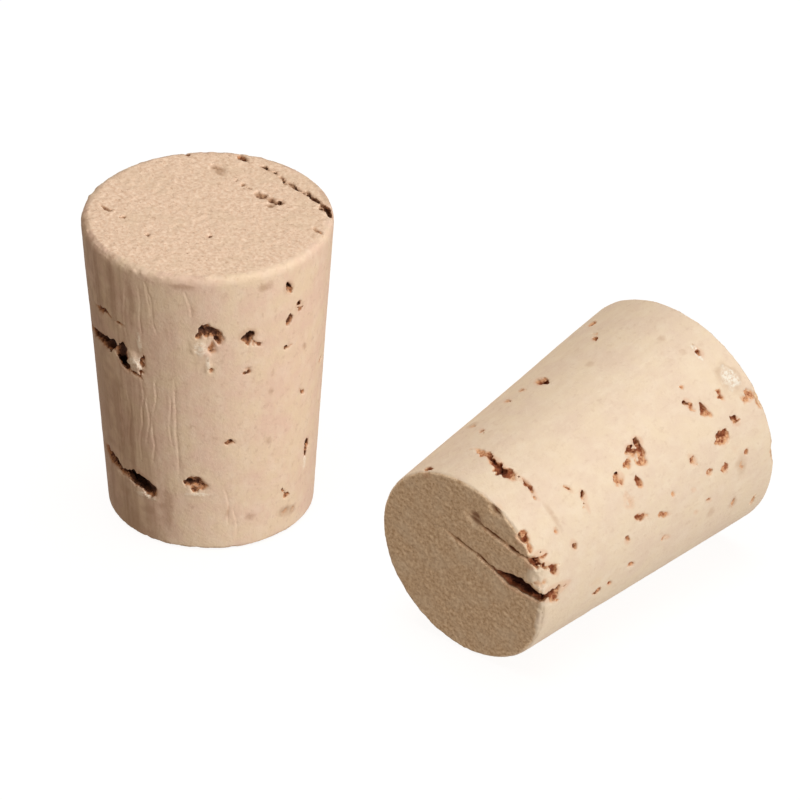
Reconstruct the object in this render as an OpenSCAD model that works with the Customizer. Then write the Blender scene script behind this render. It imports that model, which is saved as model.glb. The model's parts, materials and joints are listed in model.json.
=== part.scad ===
// Two tapered cork stoppers, of the kind that close the filling hole of a salt or pepper shaker.
// One stands on its narrow end, and the other lies on its side. Each is one piece of natural cork.
// The pits are the bark's pores: channels that all run the same way through a stopper, so they
// are round where they meet its side head on and long where they graze it.

/* [Stopper] */
// Diameter of the wide end
wide_d = 25.4; // [22:0.1:32]
// Diameter of the narrow end
narrow_d = 20.8; // [16:0.1:21.5]
// Length from end to end
stopper_length = 33.2; // [30:0.1:42]
// Size of the worn corner round both ends
rim_wear = 0.2; // [0.1:0.05:0.5]

/* [Pores] */
// Depth of the pores, as a share of what is usual
pore_depth = 1; // [0.5:0.1:1.3]
// Number of pores on the side that is out of sight
far_pores = 16; // [0:1:24]

/* [Lying stopper] */
// Distance of its narrow end to the right of the standing stopper's axis
lying_x = 25.3; // [25:0.1:60]
// Distance of its narrow end in front of the standing stopper's axis
lying_y = 29.2; // [26:0.1:60]
// Turn of its wide end, from +X towards +Y
lying_turn = 49; // [30:1:60]

/* [Hidden] */
$fn = 64;
cork_colour = [0.87, 0.76, 0.63];
taper = atan((wide_d - narrow_d) / 2 / stopper_length);

// Which way the bark's pores run through each stopper, as an angle about its own axis
upright_grain = -52;
lying_grain = -78;

// Pores on a side: [angle about the axis, height, length round the side, width, depth, slant]
upright_side_pores = [
    // two long channels that graze the side
    [-167, 21.4, 3.6, 0.8, 0.8, 5], [-158, 21.7, 4.0, 1.2, 1.1, 8], [-149, 22.0, 3.0, 1.8, 1.6, 12],
    [-142, 22.3, 1.6, 1.1, 0.8, 60], [-139, 22.0, 1.8, 1.4, 0.3, 80], [-135, 21.8, 3.6, 1.7, 1.9, 80],
    [-133, 20.6, 1.6, 1.2, 1.3, 30], [-123, 21.4, 3.0, 0.6, 0.9, 72], [-127, 20.2, 1.8, 0.6, 0.6, -20],
    [-151, 25.7, 3.4, 0.8, 0.6, 8], [-144, 25.8, 2.0, 0.6, 0.5, -15], [-135, 25.4, 2.0, 0.4, 0.4, 0],
    [-157, 7.6, 3.6, 1.8, 1.4, -5], [-149, 7.3, 3.0, 1.3, 1.3, -10], [-140, 7.0, 3.2, 0.9, 1.1, 0],
    [-130, 7.0, 3.4, 2.0, 1.7, -12], [-124, 6.4, 2.6, 1.6, 1.5, -35],
    // pores that meet the side nearly head on
    [-88, 26.8, 2.5, 1.5, 0.9, -20], [-84, 26.0, 1.8, 1.1, 0.8, -60], [-92, 26.5, 1.2, 0.7, 0.6, 40],
    [-87, 25.0, 2.0, 0.9, 0.3, 80], [-88, 22.2, 0.8, 0.5, 0.4, 80],
    [-70, 25.9, 1.5, 1.2, 1.3, 20], [-66, 25.0, 1.8, 0.5, 0.6, -45],
    [-49, 30.3, 1.6, 1.0, 1.1, -70], [-42, 27.6, 0.6, 0.5, 0.6, 0], [-41, 27.0, 0.5, 0.4, 0.5, 0],
    [-48, 26.3, 1.0, 0.5, 0.8, 80], [-47, 23.1, 1.2, 0.5, 0.5, 0], [-70, 21.5, 1.1, 0.6, 0.6, 0],
    [-79, 13.2, 1.2, 0.7, 0.7, 0], [-36, 16.6, 1.3, 0.4, 0.5, -35], [-28, 9.0, 2.4, 0.9, 1.0, 80],
    [-16, 18.0, 1.0, 0.6, 0.5, 60], [-46, 5.2, 1.1, 0.4, 0.6, -45], [-43, 4.5, 1.0, 0.5, 0.5, -45],
    [-44, 2.6, 1.2, 0.9, 0.2, 0], [-38, 2.4, 0.7, 0.6, 0.2, 0], [-96, 8.1, 2.8, 1.9, 0.9, -5]];
lying_side_pores = [
    // one long channel that grazes the side, in two parts
    [172, 4.8, 2.6, 0.7, 0.4, 0], [179, 4.6, 3.2, 0.9, 1.0, -3], [187, 4.2, 2.6, 1.1, 1.3, -15],
    [194, 3.9, 3.2, 1.1, 1.6, 0], [198, 4.0, 1.4, 0.9, 1.2, 0],
    [207, 4.5, 2.2, 0.6, 0.8, -5], [212, 4.4, 1.8, 0.5, 0.7, -10], [216, 4.2, 1.6, 0.5, 0.5, 10],
    // pores on the upper side
    [147, 28.5, 1.8, 0.9, 0.8, -35], [162, 25.3, 1.2, 0.5, 0.7, -45], [159, 26.2, 1.2, 0.5, 0.3, -30],
    [161, 17.1, 2.2, 1.3, 1.2, -25], [155, 15.4, 1.2, 0.5, 0.7, -30], [154, 13.3, 1.4, 0.6, 0.8, -15],
    [149, 8.6, 1.6, 0.6, 0.5, -30], [155, 0.6, 1.3, 0.6, 0.7, -15], [161, 7.8, 0.9, 0.4, 0.6, -20],
    [207, 30.3, 1.0, 0.4, 0.8, 0], [203, 30.5, 0.8, 0.3, 0.3, 30],
    // a torn patch with cracks round it
    [224, 31.0, 2.2, 1.5, 0.2, 20], [221, 30.8, 1.4, 0.3, 0.3, 60], [227, 31.6, 1.6, 0.3, 0.4, -70],
    [225, 31.2, 0.5, 0.4, 0.4, 0],
    // pores that meet the side nearly head on
    [216, 25.9, 1.1, 0.6, 0.3, 20], [226, 25.3, 1.5, 0.6, 0.4, 5], [223, 25.2, 0.8, 0.4, 0.8, 0],
    [233, 26.8, 1.5, 0.7, 0.4, 25], [230, 26.5, 0.8, 0.5, 0.8, 0], [230, 29.1, 1.2, 0.7, 0.5, 0],
    [243, 29.2, 1.2, 0.9, 0.7, 40], [237, 31.9, 2.2, 1.6, 0.4, 80], [247, 26.9, 1.9, 1.6, 0.5, 70],
    [246, 27.2, 0.8, 0.6, 0.9, 0], [261, 26.2, 1.1, 0.8, 0.6, 30], [259, 29.4, 0.6, 0.4, 0.5, 0],
    [264, 28.4, 1.6, 1.2, 0.2, 0], [258, 24.0, 0.8, 0.4, 0.5, 70], [247, 22.5, 1.5, 0.8, 0.8, 20],
    [261, 21.6, 0.9, 0.4, 0.5, 60], [257, 19.0, 1.1, 0.6, 0.3, -15], [264, 17.4, 2.1, 0.8, 0.6, 65],
    [278, 17.5, 1.6, 0.5, 0.7, 60], [272, 23.6, 1.0, 0.4, 0.5, 60], [274, 21.7, 0.8, 0.4, 0.5, 60],
    [224, 17.6, 0.9, 0.7, 0.9, 50], [225, 16.4, 0.8, 0.6, 0.8, 0], [229, 17.5, 1.2, 0.8, 0.7, 0],
    [233, 17.1, 1.6, 1.3, 0.4, 0], [228, 16.6, 1.0, 0.7, 0.7, 70], [230, 15.4, 1.2, 0.9, 0.5, -30],
    [241, 15.5, 1.5, 0.5, 0.7, 10], [235, 13.4, 1.7, 1.1, 0.5, 0], [233, 13.8, 0.6, 0.5, 0.8, 0],
    [257, 14.2, 2.0, 1.0, 0.7, 70], [265, 12.0, 1.0, 0.7, 0.6, 30], [284, 27.4, 1.4, 0.5, 0.4, 0],
    [282, 12.7, 1.2, 0.5, 0.6, 50], [287, 9.8, 1.0, 0.5, 0.6, 40], [287, 8.1, 0.8, 0.6, 0.6, 0],
    [230, 8.8, 1.2, 0.7, 0.8, -10], [235, 8.6, 2.4, 0.5, 0.6, -5], [223, 7.8, 1.4, 0.5, 0.6, 25],
    [249, 5.3, 1.0, 0.7, 0.7, 10], [237, 4.0, 1.0, 0.6, 0.5, 10], [255, 2.2, 1.8, 1.0, 0.8, 20],
    [250, 1.3, 2.0, 0.6, 1.2, 50], [245, 0.4, 1.6, 0.7, 1.2, 30], [271, 1.6, 1.9, 1.4, 0.6, 30],
    [230, 0.5, 1.5, 1.1, 0.8, 0], [237, 0.4, 1.4, 0.9, 0.4, 0],
    // chips out of the rim at the wide end
    [241, 33.0, 2.8, 1.0, 0.4, 0], [268, 33.2, 5.0, 1.0, 0.4, 0], [293, 31.0, 3.0, 0.7, 0.4, 10]];

// Pores on an end: [x, y, length, width, depth, turn of the length from +X]
upright_wide_pores = [
    // one long crack
    [3.4, 11.1, 2.0, 0.7, 0.6, -45], [5.6, 8.9, 1.6, 0.5, 0.7, -45], [6.5, 8.1, 1.3, 0.6, 0.9, -50],
    [7.4, 6.9, 1.6, 0.5, 0.8, -60], [8.0, 5.9, 1.8, 0.5, 0.8, -50], [8.9, 4.9, 2.2, 0.5, 0.9, -42],
    [9.9, 3.8, 2.2, 0.5, 1.0, -50], [10.8, 2.6, 2.0, 0.5, 1.0, -45], [11.7, 1.0, 2.8, 0.7, 1.2, -68],
    // a torn patch
    [7.1, 2.3, 1.3, 0.8, 0.8, -30], [6.3, 2.9, 1.8, 0.9, 0.5, -40], [5.3, 3.6, 1.8, 1.2, 0.4, -60],
    [6.3, 1.8, 1.6, 0.8, 0.2, -30], [4.1, 4.9, 1.0, 0.4, 0.4, -55], [3.4, 5.7, 0.8, 0.4, 0.4, -60],
    [2.6, 6.6, 0.6, 0.3, 0.3, -70],
    // small marks
    [-2.3, 11.7, 0.9, 0.5, 0.5, -45], [0.9, 8.7, 3.4, 0.7, 0.2, -55], [-5.7, -4.3, 1.1, 0.5, 0.4, -40],
    [0.3, -4.4, 0.5, 0.4, 0.4, 0], [11.0, -3.3, 2.6, 0.5, 0.3, -55], [-8.5, -0.6, 0.5, 0.4, 0.4, 0],
    [-10.0, 1.1, 3.0, 0.4, 0.3, -45]];
upright_narrow_pores = [[-4, 3, 4, 0.6, 0.8, -52], [3, -5, 3, 0.5, 0.6, -50], [6, 4, 2, 0.6, 0.6, -56]];
lying_narrow_pores = [
    // a thin groove that opens into a deep hole at the rim, and a crack beside it
    [-2.7, 0.2, 4.0, 0.4, 0.5, -72], [-1.9, -2.8, 3.2, 0.5, 0.8, -66], [-0.8, -7.5, 7.2, 1.8, 5.0, -83],
    [-6.6, -1.9, 2.6, 1.6, 0.4, -65], [-5.6, -4.2, 4.4, 0.5, 0.9, -76], [-4.8, -7.2, 3.8, 0.5, 1.4, -81],
    [-4.4, -9.2, 2.4, 0.6, 2.0, -78], [-8.6, -4.7, 2.0, 1.0, 0.4, -60]];
lying_wide_pores = [[2, 4, 6, 0.5, 0.9, -78], [-6, -3, 4, 0.5, 0.8, -76], [5, -6, 3, 0.6, 0.8, -80]];

function side_radius(height) = narrow_d / 2 + (wide_d - narrow_d) / 2 * height / stopper_length;

// A lens that cuts an opening of that length and width into the plane z = 0, and goes down to z = -deep.
// It is the part that two equal balls share, and its length runs along X.
module lens(long, wide, deep) {
    disc_r = (long * long / 4 + deep * deep) / (2 * deep);
    lift = disc_r - deep;
    half_thick = wide / 2 / (1 - pow(lift / disc_r, 2));
    ball_r = (disc_r * disc_r + half_thick * half_thick) / (2 * half_thick);
    translate([0, 0, lift])
        intersection_for(side = [-1, 1])
            translate([0, side * (ball_r - half_thick), 0])
                sphere(ball_r);
}

module side_pore(angle, height, long, wide, deep, slant) {
    rotate([0, 0, angle])
        translate([side_radius(height), 0, height])
            rotate([0, 90 + taper, 0])
                rotate([0, 0, 90 + slant])
                    lens(long, wide, deep * pore_depth);
}

module end_pore(x, y, long, wide, deep, turn) {
    translate([x, y, 0])
        rotate([0, 0, turn])
            lens(long, wide, deep * pore_depth);
}

// Pores scattered over the half of the side that faces away, longer where they graze the side
module scattered_pores(first_angle, grain, seed) {
    along = rands(0, 1, far_pores, seed);
    heights = rands(2, stopper_length - 2, far_pores, seed + 1);
    widths = rands(0.5, 1.1, far_pores, seed + 2);
    for (i = [0:1:far_pores - 1]) {
        angle = first_angle + 160 * (i + along[i]) / far_pores;
        graze = abs(sin(angle - grain));
        side_pore(angle, heights[i], widths[i] * (1 + 2.5 * graze), widths[i], 0.6 + 0.4 * widths[i], 0);
    }
}

// The plain tapered plug, standing on its narrow end
module plug() {
    rotate_extrude()
        polygon([
            [0, 0],
            [narrow_d / 2 - rim_wear, 0],
            [side_radius(rim_wear), rim_wear],
            [side_radius(stopper_length - rim_wear), stopper_length - rim_wear],
            [wide_d / 2 - rim_wear, stopper_length],
            [0, stopper_length]]);
}

module stopper(side_pores, wide_pores, narrow_pores, far_side, grain, seed) {
    difference() {
        plug();
        for (p = side_pores)
            side_pore(p[0], p[1], p[2], p[3], p[4], p[5]);
        translate([0, 0, stopper_length])
            for (p = wide_pores)
                end_pore(p[0], p[1], p[2], p[3], p[4], p[5]);
        mirror([0, 0, 1])
            for (p = narrow_pores)
                end_pore(p[0], p[1], p[2], p[3], p[4], p[5]);
        scattered_pores(far_side, grain, seed);
    }
}

module upright_stopper() {
    color(cork_colour)
        stopper(upright_side_pores, upright_wide_pores, upright_narrow_pores, 10, upright_grain, 11);
}

// Laid on its side, it touches the table along a whole line, so its axis rises towards the wide end
module lying_stopper() {
    color(cork_colour)
        translate([lying_x, -lying_y, narrow_d / 2 * cos(taper)])
            rotate([0, 90 - taper, lying_turn])
                stopper(lying_side_pores, lying_wide_pores, lying_narrow_pores, -40, lying_grain, 23);
}

upright_stopper();
lying_stopper();
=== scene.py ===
"""Two tapered stoppers of natural cork, one standing and one lying on its side.

Each CAD node is turned into a level set, which is a grid of distances to its surface. There its smooth
pores are slanted along the bark's grain and torn, cracks and torn skin are added, and its faces get their
roughness. The result is meshed again.

Sizes inside a stopper are in millimetres, in its own frame: +Z runs from its narrow end to its wide end.
"""
import json
import math

import bpy
import numpy as np
import openvdb
from mathutils import Matrix, Vector


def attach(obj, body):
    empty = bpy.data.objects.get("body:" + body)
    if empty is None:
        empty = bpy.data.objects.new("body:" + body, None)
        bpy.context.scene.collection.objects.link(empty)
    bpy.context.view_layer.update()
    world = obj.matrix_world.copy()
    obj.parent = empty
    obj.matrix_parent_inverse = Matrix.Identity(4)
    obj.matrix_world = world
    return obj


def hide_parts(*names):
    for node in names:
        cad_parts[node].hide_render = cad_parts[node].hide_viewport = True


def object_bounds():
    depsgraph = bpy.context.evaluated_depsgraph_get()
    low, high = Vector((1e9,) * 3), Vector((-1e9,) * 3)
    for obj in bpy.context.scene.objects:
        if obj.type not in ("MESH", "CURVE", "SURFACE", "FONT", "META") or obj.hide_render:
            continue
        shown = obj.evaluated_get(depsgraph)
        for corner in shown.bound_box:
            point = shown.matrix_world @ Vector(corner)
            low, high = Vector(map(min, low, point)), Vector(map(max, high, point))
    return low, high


MM = 0.001

# The level set's spacing and how far from the surface it knows the distance, and the most triangles in the
# mesh that comes out of it
VOXEL = 0.1
BAND = 0.8
MOST_TRIANGLES = 190000
# Only places this near the surface are roughened
SKIN_BAND = 0.65

# Which way the bark's pores run through each stopper, in degrees about its own axis
GRAIN = {"upright_stopper": -52, "lying_stopper": -78}
SEEDS = {"upright_stopper": 100, "lying_stopper": 500}
# How far crumbs fill the pores, from 0 to 1
FILL = {"upright_stopper": 0.4, "lying_stopper": 0.5}
# How ragged the pores on the ends are, next to those on the side
END_TEAR = {"upright_stopper": 0.9, "lying_stopper": 0.4}
# How the pores' outlines are torn: the size of the lumps, and how far they move the outline
RAGGED = ((1.1, 0.20), (0.45, 0.16), (0.22, 0.08))
# How far the teeth along the cut move an outline on the side
TEETH = 0.18
# The most that a channel in the side moves along the surface, as a share of its depth
MOST_SLANT = 1.4
# How high the roughness is: crumbs on an end, waves, layers and crumbs on the side, crumbs in a pore
END_CRUMBS = 0.045
SIDE_WAVES = 0.05
SIDE_LAYERS = 0.007
SIDE_CRUMBS = 0.010
PORE_CRUMBS = 0.08

# Crumbs that fill a pore nearly to the top: (angle, height, half their width, half their height, how far
# under the skin their top is)
PORE_FILLS = {
    "upright_stopper": [(-97, 7.6, 1.1, 0.5, 0.15), (-140.5, 21.9, 0.5, 1.1, 0.15)],
    "lying_stopper": [
        (229, 17.1, 0.4, 0.5, 0.2), (246.5, 27, 0.4, 0.5, 0.3), (228.5, 0.6, 0.6, 0.6, 0.25),
        (241.5, 0.9, 0.45, 0.8, 0.12)]}
# Pale skin that is torn and stands up: (angle, height, half its width, half its height, how far it stands)
TEARS = {
    "upright_stopper": [
        (-93, 24.8, 0.6, 1.2, 0.18), (-89.5, 23, 0.25, 0.9, 0.12), (-127.5, 21.4, 1, 1, 0.3),
        (-124, 24.2, 0.3, 1, 0.08), (-127, 5.4, 1.3, 0.3, 0.08), (-96, 6.8, 1.2, 0.2, 0.05),
        (-29, 7.2, 0.25, 0.7, 0.06)],
    "lying_stopper": [
        (224.5, 31.1, 1.3, 0.9, 0.35), (204, 30.2, 0.4, 0.2, 0.08), (209, 29.9, 0.5, 0.2, 0.06)]}
# Fine cuts along the side, each with a lip beside it: (angle at the low end, low end, high end, turn from
# low to high)
CUTS = {
    "upright_stopper": [
        (-113, 25.5, 32.5, -6), (-115, 26.5, 31.5, -4), (-96, 28.3, 32, -4), (-106, 8.5, 21, 1),
        (-108, 12, 19, -1), (-122, 11.5, 18, 1), (-124, 14, 21, 0), (-117, 16, 20.5, 1),
        (-78, 2.5, 8, -4), (-140, 9.5, 19, 0), (-74, 0.8, 5.5, -3), (-127, 9, 17, 2),
        (-119, 9.5, 15, 0), (-131, 24, 30.5, 0), (-121, 25, 31.5, -2), (-134, 10, 18, 1)],
    "lying_stopper": []}
CUT_DEPTH = 0.06
CUT_HALF_WIDTH = 0.12
LIP_SHARE = 0.3
LIP_PLACE = 0.25
LIP_HALF_WIDTH = 0.15
# Shallow cracks on the narrow end: (x and y of one tip, x and y of the other, half the width, depth)
END_CRACKS = {
    "upright_stopper": [],
    "lying_stopper": [
        (-3.5, 2.2, -2.6, -0.4, 0.2, 0.25), (-2.6, -0.4, -1.4, -4.1, 0.25, 0.35),
        (-6, -2.2, -4.9, -7, 0.4, 0.15)]}
# Marks that are darker than the skin round them. Most are stains, but two are painted shade: the wide one
# low down on the upright stopper's left and the one round the lying stopper's torn skin. (angle, height,
# half its width, half its height)
STAINS_AND_PAINTED_SHADE = {
    "upright_stopper": [
        (-44, 2.6, 0.8, 0.6), (-38, 2.4, 0.5, 0.5), (-67, 3.6, 0.5, 0.4), (-57, 18.5, 0.3, 0.5),
        (-57, 12.5, 0.3, 0.5), (-36, 22, 0.3, 0.4), (-62, 31.4, 0.9, 0.5), (-100, 32.2, 1.2, 0.3),
        (-115, 4.7, 0.7, 0.4), (-125, 3.6, 0.9, 0.6), (-80, 4.5, 0.3, 0.4), (-158, 15, 1.5, 6),
        (-143, 14, 0.8, 6), (-133, 13, 0.5, 5), (-143, 3, 0.9, 3), (-139, 29, 0.7, 4),
        (-151, 28.5, 0.7, 4), (-127, 29, 0.4, 3), (-112, 5, 0.5, 3), (-168, 16, 4, 22),
        # the wide mark low down at -142 is painted shade: it darkens the bottom at the left
        (-142, 1, 4.5, 2.5)],
    "lying_stopper": [
        (264, 28.4, 1.2, 0.7), (283, 27.4, 0.8, 0.5), (203, 29, 0.4, 0.4), (190, 28.7, 0.4, 0.4),
        (175, 21.4, 0.4, 0.4), (148, 9, 1, 0.6), (254, 10.4, 0.4, 0.3), (280, 24, 0.6, 0.5),
        # the wide mark at 224.5 darkens the skin round and among the raised torn skin: a painted shadow
        (231, 4.6, 1.6, 0.3), (224.5, 31.1, 1.9, 1.3)]}
# How far the wear of an end's edge reaches, and the places where it reaches further and the side's skin
# goes over the edge: (angle, height, half the width, half the height, how far it reaches). The upright
# stopper's place is so wide that it takes in the whole edge of the wide end.
EDGE_WEAR = 0.4
WORN = {
    "upright_stopper": [(0, 33, 90, 3, 1)],
    "lying_stopper": [(255, 0, 0.9, 3, 2.0), (282, 0, 2, 3, 0.9)]}

# How far under the skin a place looks for a pore, to see whether its skin is near one
LOOK_UNDER = 0.5
# The layout for a baked texture, whose sides are 1 long: how wide the unrolled side is, the gap round each
# part of it, and where the narrow end's middle is
UNROLLED_WIDTH = 0.98
LAYOUT_GAP = 0.01
NARROW_DISC = 0.6

# The camera looks along +Y and down. Places and sizes are in metres, in the row frame, the tilt is in
# degrees and the lens in millimetres.
CAMERA_AIM = Vector((0.0192, 0, 0.01125))
CAMERA_DISTANCE = 0.9096
CAMERA_TILT = 32.1
CAMERA_LENS = 405
FLOOR_SIZE = 6
FLOOR_DROP = 0.0001


# ---------------------------------------------------------------- frames

def mount(name):
    return next(m for m in frame["record"]["mounts"] if m["name"] == name)


def own_frame(name):
    """The matrix from a stopper's own frame, in millimetres, to the row frame."""
    part = name.split("_")[0]
    narrow = Vector(mount(part + "_narrow_end")["pos_m"])
    z = Vector(mount(part + "_wide_end")["axis"]).normalized()
    down = Vector((0, 0, -1))
    x = down - down.dot(z) * z
    if x.length < 0.01:
        x = Vector((1, 0, 0))
    x.normalize()
    turn = Matrix((x, z.cross(x), z)).transposed().to_4x4()
    return Matrix.Translation(narrow) @ turn @ Matrix.Scale(MM, 4)


def measure_plug():
    """The plain taper that both stoppers share. The lying one touches the table along its whole side,
    so its axis rises by the taper, and its ends' heights give their radii."""
    narrow = Vector(mount("lying_narrow_end")["pos_m"])
    wide = Vector(mount("lying_wide_end")["pos_m"])
    rise = math.asin((wide - narrow).normalized().z)
    return {
        "length": (wide - narrow).length / MM,
        "slope": math.tan(rise),
        "narrow_r": narrow.z / math.cos(rise) / MM,
        "wide_r": wide.z / math.cos(rise) / MM}


def mesh_arrays(mesh, matrix):
    """The mesh's points after that matrix, and its triangles."""
    co = np.empty(len(mesh.vertices) * 3, np.float32)
    mesh.vertices.foreach_get("co", co)
    mesh.calc_loop_triangles()
    corners = np.empty(len(mesh.loop_triangles) * 3, np.int32)
    mesh.loop_triangles.foreach_get("vertices", corners)
    return move(co.reshape(-1, 3), matrix), corners.reshape(-1, 3)


def move(points, matrix):
    m = np.array(matrix)
    return (points @ m[:3, :3].T + m[:3, 3]).astype(np.float32)


# ---------------------------------------------------------------- noise and distances

def between(table, cells):
    """The table's value at each place, from the 8 entries round it."""
    base = np.clip(cells.astype(np.int32), 0, np.array(table.shape, np.int32) - 2)
    x, y, z = np.clip(cells - base, 0, 1).astype(np.float32).T
    _, rows, columns = table.shape
    flat = table.ravel()
    index = (base[:, 0] * rows + base[:, 1]) * columns + base[:, 2]
    planes = []
    for plane in (0, rows * columns):
        lines = []
        for line in (0, columns):
            near = flat[index + plane + line]
            lines.append(near + z * (flat[index + plane + line + 1] - near))
        planes.append(lines[0] + y * (lines[1] - lines[0]))
    return planes[0] + x * (planes[1] - planes[0])


def noise(points, size, seed):
    """Smooth noise from -1 to 1. Its lumps are about that size, one number or one for each axis."""
    cells = points / np.asarray(size, np.float32)
    cells = cells - np.floor(cells.min(axis=0))
    table = np.random.default_rng(seed).uniform(-1, 1, np.ceil(cells.max(axis=0)).astype(int) + 2)
    whole = np.floor(cells)
    part = cells - whole
    return between(table.astype(np.float32), whole + part * part * (3 - 2 * part))


def layered_noise(points, size, seed, layers=3):
    """Noise with finer and weaker layers on top of it."""
    return sum(noise(points, np.asarray(size) / 2 ** k, seed + k) / 2 ** k for k in range(layers))


def plug_distance(points):
    """Distances to the plain plug, to its side alone and to its ends alone, all negative inside."""
    radius = np.hypot(points[:, 0], points[:, 1])
    height = points[:, 2]
    side = (radius - plug["narrow_r"] - plug["slope"] * height) / math.hypot(1, plug["slope"])
    ends = np.maximum(-height, height - plug["length"])
    return np.maximum(side, ends), side, ends


def round_side(points, angle):
    """How far each place is from that angle, in millimetres round the side."""
    around = np.arctan2(points[:, 1], points[:, 0]) - np.radians(angle)
    around = (around + math.pi) % (2 * math.pi) - math.pi
    return around * np.hypot(points[:, 0], points[:, 1])


def spots(points, marks, seed):
    """1 inside the marks and 0 outside, with ragged edges. A mark is an angle, a height and two half
    sizes."""
    inside = np.zeros(len(points), np.float32)
    for angle, height, half_width, half_height in marks:
        near = np.nonzero(np.abs(points[:, 2] - height) < 2.5 * half_height)[0]
        near = near[np.abs(round_side(points[near], angle)) < 2.5 * half_width]
        places = points[near]
        away = np.hypot(round_side(places, angle) / half_width, (places[:, 2] - height) / half_height)
        ragged = 0.5 * layered_noise(places, 0.8, seed, 2)
        inside[near] = np.maximum(inside[near], np.clip(1.5 - away + ragged, 0, 1))
    return inside


def cuts(points, marks, seed):
    """Thin grooves along the side, each with a raised lip."""
    height = np.zeros(len(points), np.float32)
    for angle, low, high, turn in marks:
        part = (points[:, 2] - low) / (high - low)
        near = np.nonzero((part > 0) & (part < 1) & (np.abs(round_side(points, angle)) < 3))[0]
        places, part = points[near], part[near]
        away = round_side(places, angle + turn * part) + 0.2 * layered_noise(places, (90, 90, 3), seed)
        groove = CUT_DEPTH * np.clip(1 - np.abs(away) / CUT_HALF_WIDTH, 0, 1)
        lip = LIP_SHARE * CUT_DEPTH * np.clip(1 - np.abs(away + LIP_PLACE) / LIP_HALF_WIDTH, 0, 1)
        height[near] += np.clip(np.minimum(part, 1 - part) / 0.15, 0, 1) * (groove - lip)
    return height


def end_cracks(points, marks, seed):
    """Shallow grooves on the narrow end."""
    height = np.zeros(len(points), np.float32)
    near = np.nonzero(points[:, 2] < 1)[0]
    for *tips, half_width, deep in marks:
        start = np.array(tips[:2])
        run = np.array(tips[2:]) - start
        across = points[near, :2] - start
        part = np.clip(across @ run / (run @ run), 0, 1)
        away = np.hypot(*(across - part[:, None] * run).T) + 0.15 * layered_noise(points[near], 0.6, seed)
        height[near] = np.maximum(height[near], deep * np.clip(1 - away / half_width, 0, 1))
    return height


def edge_reach(points, name):
    """How far the wear of an end's edge reaches at each place, and how far the side's skin does."""
    skin = np.zeros(len(points), np.float32)
    for *place, most in WORN[name]:
        skin = np.maximum(skin, most * spots(points, [place], SEEDS[name] + 71))
    return np.maximum(skin, EDGE_WEAR * (1 + 0.4 * noise(points, 2, SEEDS[name] + 70))), skin


def worn_away(reach, side, ends):
    """How much the wear takes off. It rounds the corner between the side and an end."""
    return np.clip(reach - np.abs(side - ends), 0, None) ** 2 / (4 * reach)


def grow(mask, steps):
    """The mask, wider by that many voxels on every side."""
    for axis in range(3):
        ahead = [slice(None)] * 3
        behind = [slice(None)] * 3
        ahead[axis] = slice(1, None)
        behind[axis] = slice(None, -1)
        for _ in range(steps):
            wider = mask.copy()
            wider[tuple(ahead)] |= mask[tuple(behind)]
            wider[tuple(behind)] |= mask[tuple(ahead)]
            mask = wider
    return mask


def biggest_island(points, quads):
    """Leaves out loose crumbs, and hollows that nothing opens into."""
    island = np.arange(len(points))
    touching = None
    while touching is None or (touching != touching[:, :1]).any():
        touching = island[quads]
        np.minimum.at(island, touching, touching.min(axis=1)[:, None])
        while (island[island] != island).any():
            island = island[island]
    kept = island == np.bincount(island).argmax()
    numbers = np.cumsum(kept) - 1
    return points[kept], numbers[quads[kept[quads[:, 0]]]]


class Field:
    """A stopper's level set as a plain array, with its lowest corner in whole voxels."""

    def __init__(self, points, triangles):
        self.transform = openvdb.createLinearTransform(voxelSize=VOXEL)
        grid = openvdb.FloatGrid.createLevelSetFromPolygons(
            points.astype(np.float64), triangles=triangles.astype(np.uint32),
            transform=self.transform, halfWidth=BAND / VOXEL)
        low, high = grid.evalActiveVoxelBoundingBox()
        self.low = np.array(low)
        self.array = np.zeros(np.array(high) - self.low + 1, np.float32)
        grid.copyToArray(self.array, ijk=low)

    def points(self, mask):
        """The masked voxels' indices, for the array, and their places."""
        index = np.nonzero(mask)
        return index, ((np.stack(index, axis=1) + self.low) * VOXEL).astype(np.float32)

    def at(self, points):
        return between(self.array, points / VOXEL - self.low)

    def pore(self, points):
        """0 where the CAD node is plain, and more the deeper a place is in a pore."""
        return self.at(points) - np.clip(plug_distance(points)[0], -BAND, BAND)

    def mesh(self, name):
        grid = openvdb.FloatGrid(BAND)
        grid.transform = self.transform
        grid.copyFromArray(self.array, ijk=tuple(int(v) for v in self.low))
        points, _, quads = grid.convertToPolygons(isovalue=0, adaptivity=0)
        points, quads = biggest_island(points, quads)
        mesh = bpy.data.meshes.new(name)
        mesh.from_pydata(points.tolist(), [], quads.tolist())
        return mesh


# ---------------------------------------------------------------- the cork's shape

def pore_zone(field):
    """The voxels in the CAD node's pores, and a little round them."""
    _, places = field.points(np.ones(field.array.shape, bool))
    plain = np.clip(plug_distance(places)[0], -BAND, BAND).reshape(field.array.shape)
    return grow((field.array - plain > 0.06) & (plain < -0.1), round(0.5 / VOXEL))


def grain_direction(name):
    angle = math.radians(GRAIN[name])
    return np.array([math.cos(angle), math.sin(angle)], np.float32)


def along_grain(points, name):
    """The places with X turned to run along the pores."""
    c, s = grain_direction(name)
    turned = points.copy()
    turned[:, 0] = c * points[:, 0] + s * points[:, 1]
    turned[:, 1] = c * points[:, 1] - s * points[:, 0]
    return turned


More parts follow.
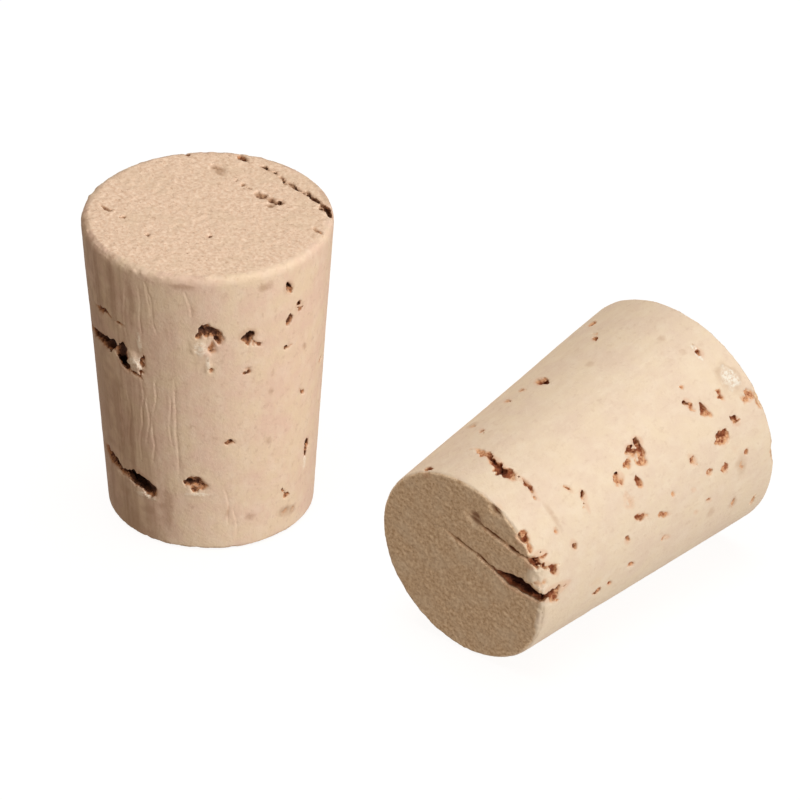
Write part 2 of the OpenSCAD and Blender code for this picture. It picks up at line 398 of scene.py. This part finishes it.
def tear_pores(field, name):
    """Slants the pores along the grain, tears their outlines and leaves crumbs in them.
    The plain surfaces round them stay as they are."""
    seed = SEEDS[name]
    index, points = field.points(pore_zone(field))
    plain, side, ends = plug_distance(points)
    limited = np.clip(plain, -BAND, BAND)

    # a channel goes in along the grain, so it runs under the surface where it meets the side at a slant
    grain = grain_direction(name)
    normal = points[:, :2] / (np.hypot(points[:, 0], points[:, 1])[:, None] + 1e-6)
    facing = (normal @ grain)[:, None]
    tangent = np.abs(facing) * normal - np.sign(facing) * grain
    slant = np.clip(1 / np.maximum(np.abs(facing), 0.5), 0, MOST_SLANT)
    on_side = np.clip(side - ends, 0, 1)
    depth = np.clip(-plain, 0, None)[:, None]
    moved = points.copy()
    moved[:, :2] -= depth * slant * on_side[:, None] * tangent

    # outlines on the side are drawn out into teeth along the cut
    loose = END_TEAR[name] + (1 - END_TEAR[name]) * on_side
    for axis in range(3):
        for size, strength in RAGGED:
            seed += 1
            moved[:, axis] += loose * strength * noise(points, size, seed)
    moved[:, 2] += TEETH * on_side * noise(points, (0.3, 0.3, 1.5), seed + 1)
    hollow = field.pore(moved)
    crumbs = np.clip(layered_noise(along_grain(points, name), (0.6, 0.34, 0.34), seed + 2, 2), 0, 1)
    head_on = np.clip(1.6 * np.abs(facing[:, 0]), 0.1, 1) * on_side + 1 - on_side
    filled = FILL[name] * loose * head_on * crumbs

    # the loose crumbs take room from the hollow, and the places in PORE_FILLS are filled up to their top
    torn = limited + hollow * (1 - filled) - 0.3 * filled * np.clip(hollow / 0.2, 0, 1)
    for *place, top in PORE_FILLS[name]:
        share = spots(points, [place], seed + 5)
        crumbs_top = plain + top + 2 * (1 - share) + 0.15 * layered_noise(points, 0.5, seed + 6, 2)
        torn = np.where(share > 0, np.minimum(torn, np.clip(crumbs_top, -BAND, BAND)), torn)
    field.array[index] = torn


def roughen(field, name):
    """Gives every face its roughness: crumbs and cracks on the ends, waves and cuts along the side, and
    torn pore walls. It also wears the ends' edges and raises the torn skin."""
    seed = SEEDS[name] + 50
    index, points = field.points(np.abs(field.array) < SKIN_BAND)
    plain, side, ends = plug_distance(points)
    turned = along_grain(points, name)
    in_pore = np.clip(-plain / 0.3 - 0.4, 0, 1)
    on_end = np.clip((ends - side) / 0.4, 0, 1) * (1 - in_pore)
    on_side = np.clip((side - ends) / 0.4, 0, 1) * (1 - in_pore)
    rough = on_end * END_CRUMBS * layered_noise(turned, (0.6, 0.4, 0.4), seed, 2)
    rough += on_side * SIDE_WAVES * noise(points, 7, seed + 3)
    rough += on_side * SIDE_LAYERS * noise(turned, (0.5, 0.5, 6), seed + 4)
    rough += on_side * SIDE_CRUMBS * layered_noise(points, 0.6, seed + 5, 2)
    rough += in_pore * PORE_CRUMBS * layered_noise(turned, (0.8, 0.3, 0.3), seed + 7, 2)
    field.array[index] += rough + on_side * cuts(points, CUTS[name], seed + 10)
    field.array[index] += on_end * end_cracks(points, END_CRACKS[name], seed + 16)
    field.array[index] += worn_away(edge_reach(points, name)[0], side, ends)
    for *place, stand in TEARS[name]:
        share = spots(points, [place], seed + 13)
        near = np.nonzero(share)[0]
        ragged = 0.6 + 0.6 * layered_noise(points[near], (0.5, 0.5, 0.9), seed + 12, 2)
        field.array[tuple(axis[near] for axis in index)] -= stand * ragged * share[near]


def thin_out(piece):
    """Merges the flattest triangles until the mesh is small enough to keep."""
    piece.data.calc_loop_triangles()
    count = len(piece.data.loop_triangles)
    if count > MOST_TRIANGLES:
        thinner = piece.modifiers.new("thin_out", "DECIMATE")
        thinner.ratio = MOST_TRIANGLES / count
        bpy.context.view_layer.update()
        depsgraph = bpy.context.evaluated_depsgraph_get()
        mesh = bpy.data.meshes.new_from_object(piece.evaluated_get(depsgraph))
        piece.modifiers.remove(thinner)
        piece.data = mesh


def note(mesh, name, values):
    """Stores a number on each vertex for the material."""
    mesh.attributes.new(name, "FLOAT", "POINT").data.foreach_set("value", values.astype(np.float32))


def write_notes(mesh, pores, name):
    """Stores what the material needs: the place in the stopper's own frame with X along the grain,
    the depth under the plain surface, how near a pore is, whether it is an end, how nearly the pores run
    along the surface, and the marks."""
    points, _ = mesh_arrays(mesh, Matrix.Identity(4))
    plain, side, ends = plug_distance(points)
    turned = along_grain(points, name)
    mesh.attributes.new("own_place", "FLOAT_VECTOR", "POINT").data.foreach_set("vector", turned.ravel())
    inward = LOOK_UNDER + np.clip(plain, -LOOK_UNDER, 0.2)
    on_end = (ends > side)
    below = points.copy()
    radius = np.hypot(points[:, 0], points[:, 1]) + 1e-6
    for axis in range(2):
        below[:, axis] -= np.where(on_end, 0, inward * points[:, axis] / radius)
    below[:, 2] += np.where(on_end, -np.sign(points[:, 2] - plug["length"] / 2) * inward, 0)
    reach, skin = edge_reach(points, name)
    note(mesh, "depth", -plain - worn_away(reach, side, ends))
    note(mesh, "pore_near", np.clip(pores.pore(below) / LOOK_UNDER, 0, 1))
    note(mesh, "end_face", np.clip((ends - side - 0.8 * skin) / 0.15 + 0.5, 0, 1))
    note(mesh, "graze", 1 - np.abs(turned[:, 0]) / radius)
    note(mesh, "torn", spots(points, [place for *place, _ in TEARS[name]], SEEDS[name] + 63))
    note(mesh, "stain_and_painted_shade", spots(points, STAINS_AND_PAINTED_SHADE[name], SEEDS[name] + 64))


def lay_out(mesh):
    """A flat layout for a baked texture: the side unrolled, with the two ends above it."""
    points, _ = mesh_arrays(mesh, Matrix.Identity(4))
    scale = UNROLLED_WIDTH / (math.pi * (plug["wide_r"] + plug["narrow_r"]))
    corners = np.empty(len(mesh.loops), np.int32)
    mesh.loops.foreach_get("vertex_index", corners)
    starts = np.empty(len(mesh.polygons), np.int32)
    mesh.polygons.foreach_get("loop_start", starts)
    faces = np.repeat(np.arange(len(starts)), np.diff(np.append(starts, len(corners))))
    middles = np.add.reduceat(points[corners], starts) / np.bincount(faces)[:, None]
    _, side, ends = plug_distance(middles)
    on_end = (ends > side)[faces]
    wide_end = (middles[:, 2] > plug["length"] / 2)[faces]

    here = points[corners]
    turn = np.arctan2(middles[:, 1], middles[:, 0])[faces]
    ahead = (np.arctan2(here[:, 1], here[:, 0]) - turn + math.pi) % (2 * math.pi) - math.pi
    across = 0.5 + UNROLLED_WIDTH * (turn + ahead) / (2 * math.pi)
    unrolled = np.stack([across, LAYOUT_GAP + here[:, 2] * scale], axis=1)
    disc_height = 3 * LAYOUT_GAP + scale * (plug["length"] + plug["wide_r"])
    wide_middle = (2 * LAYOUT_GAP + scale * plug["wide_r"], disc_height)
    middle = np.where(wide_end[:, None], wide_middle, (NARROW_DISC, disc_height))
    flat = np.where(on_end[:, None], middle + here[:, :2] * scale, unrolled)
    mesh.uv_layers.new(name="OFBake").data.foreach_set("uv", flat.astype(np.float32).ravel())


def build_cork(name):
    matrix = own_frame(name)
    points, triangles = mesh_arrays(frame["nodes"][name].data, matrix.inverted())
    field = Field(points, triangles)
    pores = Field(points, triangles)
    tear_pores(field, name)
    roughen(field, name)
    piece = bpy.data.objects.new(name + "_cork", field.mesh(name + "_cork"))
    bpy.context.scene.collection.objects.link(piece)
    thin_out(piece)
    write_notes(piece.data, pores, name)
    lay_out(piece.data)
    piece.data.transform(matrix)
    piece.data.shade_smooth()
    piece.data.materials.append(cork_material(name))
    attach(piece, name)
    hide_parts(name)
    return piece


# ---------------------------------------------------------------- materials

class Tree:
    """A short way to write a material's nodes. A socket given a node takes its first output."""

    def __init__(self, name):
        self.material = bpy.data.materials.new(name)
        self.material.use_nodes = True
        self.tree = self.material.node_tree
        self.tree.nodes.clear()

    def add(self, kind, inputs=None, **settings):
        node = self.tree.nodes.new("ShaderNode" + kind)
        for key, value in settings.items():
            setattr(node, key, value)
        for key, value in (inputs or {}).items():
            socket = node.inputs[key]
            if isinstance(value, bpy.types.Node):
                value = value.outputs[0]
            if isinstance(value, bpy.types.NodeSocket):
                self.tree.links.new(value, socket)
            else:
                socket.default_value = value
        return node

    def math(self, operation, a, b):
        return self.add("Math", {0: a, 1: b}, operation=operation)

    def step(self, value, start, end):
        """0 below start, 1 above end."""
        return self.add("MapRange", {"Value": value, "From Min": start, "From Max": end})

    def mix(self, factor, a, b):
        node = self.add("Mix", data_type="RGBA")
        for socket, value in ((node.inputs[0], factor), (node.inputs[6], a), (node.inputs[7], b)):
            if isinstance(value, (bpy.types.Node, bpy.types.NodeSocket)):
                output = value if isinstance(value, bpy.types.NodeSocket) else value.outputs[0]
                self.tree.links.new(output, socket)
            else:
                socket.default_value = value
        return node.outputs[2]


def colour(red, green, blue):
    """A display colour from 0 to 255 as the linear colour that Blender takes."""
    levels = [c / 255 for c in (red, green, blue)]
    linear = [c / 12.92 if c <= 0.04045 else ((c + 0.055) / 1.055) ** 2.4 for c in levels]
    return (*linear, 1)


# Display colours from 0 to 255, the share of the growth layers that shows, and how far under an end's
# plain surface its colour still holds. The upright stopper's bark is browner and shows more of its layers.
# A pore's colours run from pale near its mouth to dark deep down: partly its darker tissue, partly painted
# shade.
LOOKS = {
    "upright_stopper": {
        "pink": (226, 195, 171), "yellow": (229, 204, 173), "pale": (235, 212, 187),
        "layer": (176, 140, 112), "layers": 0.42, "end_low": (226, 192, 162), "end_high": (248, 222, 195),
        "fleck": (176, 138, 106), "end_depth": 0, "round_pore": (200, 162, 132),
        "pore_pale": (196, 140, 98), "pore_dark_with_painted_shade": (108, 68, 46), "pore_deep_with_painted_shade": (62, 38, 27),
        "torn": (250, 236, 214)},
    "lying_stopper": {
        "pink": (231, 209, 184), "yellow": (235, 215, 186), "pale": (240, 223, 198),
        # the lying stopper's two end colours lie far apart partly as painted light and shade of the end's
        # relief
        "layer": (206, 176, 146), "layers": 0.08, "end_low": (202, 168, 129), "end_high": (246, 218, 181),
        "fleck": (146, 108, 76), "end_depth": 0.15, "round_pore": (222, 174, 138),
        "pore_pale": (226, 176, 132), "pore_dark_with_painted_shade": (158, 92, 58), "pore_deep_with_painted_shade": (78, 38, 24),
        "torn": (246, 240, 224)}}


def cork_material(name):
    t = Tree(name + "_cork")
    look = LOOKS[name]
    place = t.add("Attribute", attribute_name="own_place").outputs["Vector"]
    depth = t.add("Attribute", attribute_name="depth").outputs["Fac"]
    pore_near = t.add("Attribute", attribute_name="pore_near").outputs["Fac"]
    end_face = t.add("Attribute", attribute_name="end_face").outputs["Fac"]
    graze = t.add("Attribute", attribute_name="graze").outputs["Fac"]
    torn = t.add("Attribute", attribute_name="torn").outputs["Fac"]
    stain_and_painted_shade = t.add("Attribute", attribute_name="stain_and_painted_shade").outputs["Fac"]

    def grain(scale, detail=3, stretch=(1, 1, 1), rough=0.6):
        moved = t.add("Mapping", {"Vector": place, "Scale": stretch})
        return t.add("TexNoise", {"Vector": moved, "Scale": scale, "Detail": detail, "Roughness": rough})

    def share(value, start, end, most):
        return t.math("MULTIPLY", t.step(value, start, end), most)

    layers = grain(0.9, 3, (1, 0.05, 0.04))
    fine_layers = grain(3.2, 2, (1, 0.05, 0.03))
    blotches = grain(0.32, 3)
    patches = grain(0.9, 2, (1, 1, 0.7))
    crumbs = grain(3.2, 3)
    granules = grain(2.8, 4)
    specks = grain(1.6, 3, (1, 1, 0.8), 0.7)
    flecks = grain(2.3, 2, (0.6, 1, 1), 0.7)

    side = t.mix(t.step(blotches, 0.38, 0.62), colour(*look["pink"]), colour(*look["yellow"]))
    side = t.mix(share(patches, 0.45, 0.7, 0.5), side, colour(*look["pale"]))
    # the growth layers show where the pores run along the surface, because they lie across the pores
    shown = t.math("MULTIPLY", t.step(graze, 0.1, 0.8), look["layers"])
    layer_share = t.math("MULTIPLY", t.step(layers, 0.48, 0.64), shown)
    side = t.mix(layer_share, side, colour(*look["layer"]))
    fine_share = t.math("MULTIPLY", t.step(fine_layers, 0.5, 0.66), t.math("MULTIPLY", shown, 0.35))
    side = t.mix(fine_share, side, colour(*look["layer"]))
    side = t.mix(share(specks, 0.55, 0.75, 0.35), side, colour(*look["layer"]))
    # the marks darken the side: real stains, and in two places painted shade
    side = t.mix(share(stain_and_painted_shade, 0.2, 1, 0.55), side, colour(*look["layer"]))
    # An end's granules are lighter and darker at random: the end grain's own tone, and on the lying
    # stopper also painted light and shade of its relief
    end = t.mix(t.step(granules, 0.36, 0.64), colour(*look["end_low"]), colour(*look["end_high"]))
    end = t.mix(share(blotches, 0.45, 0.65, 0.4), end, colour(*look["yellow"]))
    end = t.mix(share(flecks, 0.62, 0.72, 0.5), end, colour(*look["fleck"]))
    skin = t.mix(end_face, side, end)

    # the skin is redder round a pore. Inside a pore the colour darkens with depth, partly for the pore's
    # darker tissue and partly as painted shade, and random paler crumbs break it up
    skin = t.mix(share(pore_near, 0.4, 0.9, 0.4), skin, colour(*look["round_pore"]))
    depth = t.math("SUBTRACT", depth, t.math("MULTIPLY", end_face, look["end_depth"]))
    shade = t.math("ADD", depth, t.math("MULTIPLY", t.math("SUBTRACT", 0.5, crumbs), 1.2))
    shallow = t.mix(end_face, colour(*look["pore_pale"]), colour(*look["fleck"]))
    inside = t.mix(t.step(shade, 0.15, 0.45), shallow, colour(*look["pore_dark_with_painted_shade"]))
    inside = t.mix(t.step(shade, 0.45, 1.0), inside, colour(*look["pore_deep_with_painted_shade"]))
    base = t.mix(t.step(depth, 0.05, 0.2), skin, inside)
    raised = t.math("MULTIPLY", t.step(torn, 0.3, 0.8), t.step(crumbs, 0.35, 0.6))
    raised = t.math("MULTIPLY", raised, t.step(depth, 0.25, 0.1))
    base = t.mix(t.math("MULTIPLY", raised, 0.9), base, colour(*look["torn"]))

    bump = t.add("Bump", {"Height": crumbs, "Strength": 0.5, "Distance": 0.0001})
    shader = t.add("BsdfPrincipled", {"Base Color": base, "Normal": bump, "Roughness": 0.85,
                                      "Specular IOR Level": 0.2})
    t.add("OutputMaterial", {"Surface": shader})
    return t.material


def floor_material():
    t = Tree("floor")
    shader = t.add("BsdfPrincipled", {"Base Color": (0.25, 0.25, 0.25, 1), "Roughness": 0.9,
                                      "Specular IOR Level": 0.0, "Emission Color": (1, 1, 1, 1),
                                      "Emission Strength": 0.9})
    t.add("OutputMaterial", {"Surface": shader})
    return t.material


# ---------------------------------------------------------------- the stage

def build_floor():
    """It lies just under the stoppers, and the light that bounces off it is left out."""
    mesh = bpy.data.meshes.new("floor")
    half = FLOOR_SIZE / 2
    corners = [(-half, -half, 0), (half, -half, 0), (half, half, 0), (-half, half, 0)]
    mesh.from_pydata(corners, [], [(0, 1, 2, 3)])
    floor = bpy.data.objects.new("floor", mesh)
    floor.location.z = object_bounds()[0][2] - FLOOR_DROP
    mesh.materials.append(floor_material())
    floor.visible_diffuse = False
    bpy.context.scene.collection.objects.link(floor)


def aim(thing, place, target):
    thing.location = place
    thing.rotation_euler = (target - place).to_track_quat("-Z", "Y").to_euler()
    bpy.context.scene.collection.objects.link(thing)


def build_camera():
    data = bpy.data.cameras.new("camera")
    data.lens = CAMERA_LENS
    data.clip_end = 10
    camera = bpy.data.objects.new("camera", data)
    tilt = math.radians(CAMERA_TILT)
    back = Vector((0, -math.cos(tilt), math.sin(tilt)))
    aim(camera, CAMERA_AIM + CAMERA_DISTANCE * back, CAMERA_AIM)
    bpy.context.scene.camera = camera


def soft_light(name, power, size, direction, hue, only=None):
    """A square light. If it is only for one stopper, the other one neither gets it nor shades it."""
    data = bpy.data.lights.new(name, "AREA")
    data.energy = power
    data.size = size
    data.color = hue
    light = bpy.data.objects.new(name, data)
    aim(light, CAMERA_AIM + Vector(direction), CAMERA_AIM)
    if only:
        group = bpy.data.collections.new(name)
        group.objects.link(only)
        light.light_linking.receiver_collection = group
        light.light_linking.blocker_collection = group


def build_light(corks):
    cool = (1, 1.03, 1.08)
    soft_light("upright_key", 8.1, 0.5, (0.6, -0.64, 0.47), cool, corks["upright_stopper"])
    soft_light("lying_key", 6.5, 0.6, (0.67, -0.69, 0.22), cool, corks["lying_stopper"])
    soft_light("lying_top", 2.7, 0.8, (-0.3, 0.2, 0.93), cool, corks["lying_stopper"])
    soft_light("top", 3.2, 0.8, (0, 0, 1), cool)
    world = bpy.data.worlds.new("studio")
    world.use_nodes = True
    background = world.node_tree.nodes["Background"]
    background.inputs["Color"].default_value = (1, 0.8, 0.63, 1)
    background.inputs["Strength"].default_value = 0.3
    bpy.context.scene.world = world
    bpy.context.scene.view_settings.view_transform = "Standard"


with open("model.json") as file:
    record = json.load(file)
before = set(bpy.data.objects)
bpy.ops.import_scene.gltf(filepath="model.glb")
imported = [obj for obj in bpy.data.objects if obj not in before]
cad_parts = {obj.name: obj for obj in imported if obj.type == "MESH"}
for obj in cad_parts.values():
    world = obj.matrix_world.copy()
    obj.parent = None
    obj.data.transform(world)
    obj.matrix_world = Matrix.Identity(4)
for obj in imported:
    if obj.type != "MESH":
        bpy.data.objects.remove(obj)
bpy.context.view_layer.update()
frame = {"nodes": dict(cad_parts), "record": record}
plug = measure_plug()
build_camera()
build_floor()
build_light({name: build_cork(name) for name in frame["nodes"]})
